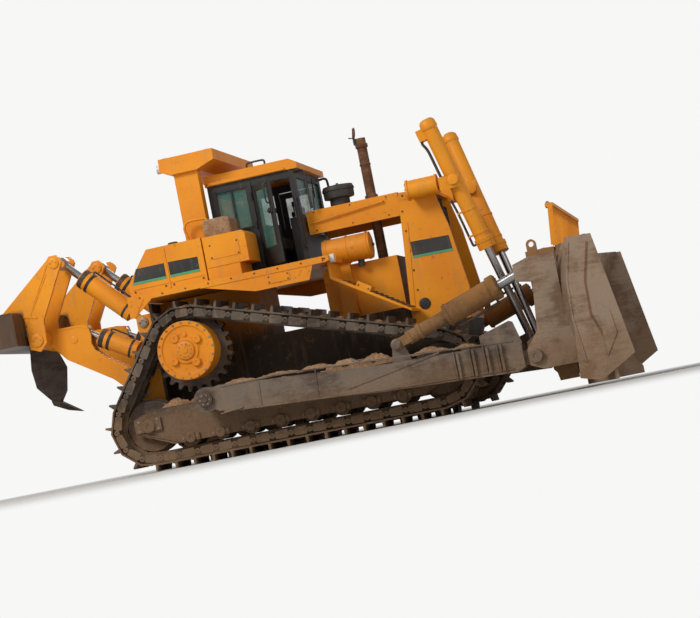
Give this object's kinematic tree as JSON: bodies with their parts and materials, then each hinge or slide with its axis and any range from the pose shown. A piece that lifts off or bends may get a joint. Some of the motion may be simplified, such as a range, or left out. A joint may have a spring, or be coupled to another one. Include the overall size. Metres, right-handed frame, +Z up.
{
  "type": "crawler dozer",
  "caption": "Full-size crawler dozer with raised sprockets, semi-U blade on push arms, open cab door, roll-over frame and a single-shank parallelogram ripper.",
  "frame": {"origin": "on the ground, under the middle of the machine's overall box", "axes": "+X forward to the blade, +Y to the machine's left, +Z up"},
  "size_m": [8.47, 4.94, 4.0017],
  "materials": {
    "yellow_paint": "weathered satin",
    "worn_steel": "bare and dusty",
    "track_steel": "dusty cast steel",
    "dark_steel": "rusty brown",
    "black_paint": "matt",
    "glass": "green tint",
    "chrome_rod": "polished",
    "rust": "rusty",
    "seat_cloth": "dusty",
    "lamp_glass": "clear"
  },
  "bodies": {
    "chassis": {"tracks": "track_steel", "sprockets": "dark_steel", "final_drives": "yellow_paint", "idlers": "dark_steel", "roller_frames": "dark_steel", "main_frame": "yellow_paint", "ripper_bracket": "dark_steel", "ripper_cheeks": "yellow_paint", "ripper_foot_pins": "dark_steel", "platform": "yellow_paint", "fuel_tank": "yellow_paint", "hydraulic_tank": "yellow_paint", "battery_box": "yellow_paint", "rops": "yellow_paint", "cab_frame": "black_paint", "cab_roof": "yellow_paint", "cab_glass": "glass", "seat": "seat_cloth", "console": "black_paint", "hood": "yellow_paint", "radiator_guard": "yellow_paint", "radiator": "black_paint", "grille": "black_paint", "engine": "black_paint", "air_cleaner": "yellow_paint", "precleaner": "black_paint", "exhaust_stack": "rust", "lamps": "lamp_glass"},
    "push_frame": {"push_arms": "worn_steel"},
    "blade": {"moldboard": "worn_steel", "blade_frame": "worn_steel", "arm_brackets": "worn_steel", "lift_brackets": "worn_steel", "cutting_edge": "worn_steel", "rock_guard": "yellow_paint"},
    "yoke_right": {"lift_yoke_right": "yellow_paint"},
    "yoke_left": {"lift_yoke_left": "yellow_paint"},
    "lift_barrel_right_body": {"lift_barrel_right": "yellow_paint"},
    "lift_barrel_left_body": {"lift_barrel_left": "yellow_paint"},
    "lift_rod_right_body": {"lift_rod_right": "chrome_rod"},
    "lift_rod_left_body": {"lift_rod_left": "chrome_rod"},
    "tilt_barrel_pair": {"tilt_barrels": "worn_steel"},
    "tilt_rod_pair": {"tilt_rods": "chrome_rod"},
    "ripper_arm_pair": {"ripper_arms": "yellow_paint"},
    "ripper_pin_pair": {"ripper_pins": "dark_steel"},
    "ripper": {"ripper_beam": "yellow_paint", "ripper_shank": "dark_steel", "ripper_tip": "dark_steel"},
    "ripper_lift_barrel_pair": {"ripper_lift_barrels": "yellow_paint"},
    "ripper_lift_rod_pair": {"ripper_lift_rods": "chrome_rod"},
    "ripper_pitch_pin_pair": {"ripper_pitch_pins": "dark_steel"},
    "ripper_pitch_barrel_pair": {"ripper_pitch_barrels": "yellow_paint"},
    "ripper_pitch_rod_pair": {"ripper_pitch_rods": "chrome_rod"},
    "right_door": {"door_right": "black_paint", "door_glass_right": "glass"},
    "left_door": {"door_left": "black_paint", "door_glass_left": "glass"},
    "cap": {"rain_cap": "rust"}
  },
  "joints": [
    {"name": "blade_lift", "type": "hinge", "parent": "chassis", "child": "push_frame", "pos_m": [-1.155, 0, 0.77], "axis": [0, -1, 0], "range_deg": [-6, 15]},
    {"name": "blade_pitch", "type": "hinge", "parent": "push_frame", "child": "blade", "pos_m": [3.025, 0, 0.503], "axis": [0, -1, 0], "range_deg": [-6, 6]},
    {"name": "lift_swivel_right", "type": "hinge", "parent": "chassis", "child": "yoke_right", "pos_m": [2.315, -0.8, 2.93], "axis": [1, 0, 0], "range_deg": [-3.5, 6.5]},
    {"name": "lift_tilt_right", "type": "hinge", "parent": "yoke_right", "child": "lift_barrel_right_body", "pos_m": [2.315, -0.8, 2.93], "axis": [0, -0.9892, -0.1469], "range_deg": [-4, 8]},
    {"name": "lift_stroke_right", "type": "slide", "parent": "lift_barrel_right_body", "child": "lift_rod_right_body", "axis": [0.2351, 0.1427, -0.9614], "range_m": [-1.1, 0.5]},
    {"name": "lift_swivel_left", "type": "hinge", "parent": "chassis", "child": "yoke_left", "pos_m": [2.315, 0.8, 2.93], "axis": [-1, 0, 0], "range_deg": [-3.5, 6.5]},
    {"name": "lift_tilt_left", "type": "hinge", "parent": "yoke_left", "child": "lift_barrel_left_body", "pos_m": [2.315, 0.8, 2.93], "axis": [0, -0.9892, 0.1469], "range_deg": [-4, 8]},
    {"name": "lift_stroke_left", "type": "slide", "parent": "lift_barrel_left_body", "child": "lift_rod_left_body", "axis": [0.2351, -0.1427, -0.9614], "range_m": [-1.1, 0.5]},
    {"name": "tilt_swing", "type": "hinge", "parent": "push_frame", "child": "tilt_barrel_pair", "pos_m": [1.355, 0, 0.975], "axis": [0, -1, 0], "range_deg": [-2.5, 2.5]},
    {"name": "tilt_stroke", "type": "slide", "parent": "tilt_barrel_pair", "child": "tilt_rod_pair", "axis": [0.9473, 0, 0.3205], "range_m": [-0.15, 0.15]},
    {"name": "ripper_lift", "type": "hinge", "parent": "chassis", "child": "ripper_arm_pair", "pos_m": [-2.255, 0, 1.06], "axis": [0, 1, 0], "range_deg": [-55, 0]},
    {"name": "ripper_level", "type": "hinge", "parent": "ripper_arm_pair", "child": "ripper_pin_pair", "pos_m": [-3.505, 0, 2.005], "axis": [0, 1, 0], "range_deg": [-1, 50]},
    {"name": "ripper_pitch", "type": "hinge", "parent": "ripper_pin_pair", "child": "ripper", "pos_m": [-3.505, 0, 2.005], "axis": [0, -1, 0], "range_deg": [-7, 17]},
    {"name": "ripper_lift_swing", "type": "hinge", "parent": "chassis", "child": "ripper_lift_barrel_pair", "pos_m": [-2.125, 0, 1.537], "axis": [0, 1, 0], "range_deg": [-54, 1]},
    {"name": "ripper_lift_stroke", "type": "slide", "parent": "ripper_lift_barrel_pair", "child": "ripper_lift_rod_pair", "axis": [-0.8662, 0, 0.4997], "range_m": [-0.01, 0.48]},
    {"name": "ripper_pitch_swing", "type": "hinge", "parent": "chassis", "child": "ripper_pitch_pin_pair", "pos_m": [-2.085, 0, 1.96], "axis": [0, 1, 0], "range_deg": [-60, 1]},
    {"name": "ripper_pitch_lean", "type": "hinge", "parent": "ripper_pitch_pin_pair", "child": "ripper_pitch_barrel_pair", "pos_m": [-2.085, 0, 1.96], "axis": [0, 1, 0], "range_deg": [-4, 2]},
    {"name": "ripper_pitch_stroke", "type": "slide", "parent": "ripper_pitch_barrel_pair", "child": "ripper_pitch_rod_pair", "axis": [-0.7071, 0, 0.7071], "range_m": [-0.15, 0.35]},
    {"name": "door_right_hinge", "type": "hinge", "parent": "chassis", "child": "right_door", "pos_m": [-0.345, -0.78, 2.9], "axis": [0, 0, -1], "range_deg": [-52, 38]},
    {"name": "door_left_hinge", "type": "hinge", "parent": "chassis", "child": "left_door", "pos_m": [-0.345, 0.78, 2.9], "axis": [0, 0, 1], "range_deg": [0, 90]},
    {"name": "rain_cap_hinge", "type": "hinge", "parent": "chassis", "child": "cap", "pos_m": [0.985, 0, 3.848], "axis": [0, 1, 0], "range_deg": [-10, 80]}
  ],
  "couplings": [
    {"joint": "lift_swivel_right", "follows": "blade_lift", "ratio": 0.3458},
    {"joint": "lift_tilt_right", "follows": "blade_lift", "ratio": 0.4213},
    {"joint": "lift_stroke_right", "follows": "blade_lift", "m_per_rad": -3.8696},
    {"joint": "lift_swivel_left", "follows": "blade_lift", "ratio": 0.3458},
    {"joint": "lift_tilt_left", "follows": "blade_lift", "ratio": 0.4213},
    {"joint": "lift_stroke_left", "follows": "blade_lift", "m_per_rad": -3.8696},
    {"joint": "tilt_swing", "follows": "blade_pitch", "ratio": 0.1885},
    {"joint": "tilt_stroke", "follows": "blade_pitch", "m_per_rad": -0.982},
    {"joint": "ripper_level", "follows": "ripper_lift", "ratio": -0.8432},
    {"joint": "ripper_lift_swing", "follows": "ripper_lift", "ratio": 0.95},
    {"joint": "ripper_lift_stroke", "follows": "ripper_lift", "m_per_rad": -0.4747},
    {"joint": "ripper_pitch_swing", "follows": "ripper_lift", "ratio": 1.0591},
    {"joint": "ripper_pitch_lean", "follows": "ripper_pitch", "ratio": -0.1641},
    {"joint": "ripper_pitch_stroke", "follows": "ripper_pitch", "m_per_rad": 0.9638}
  ]
}
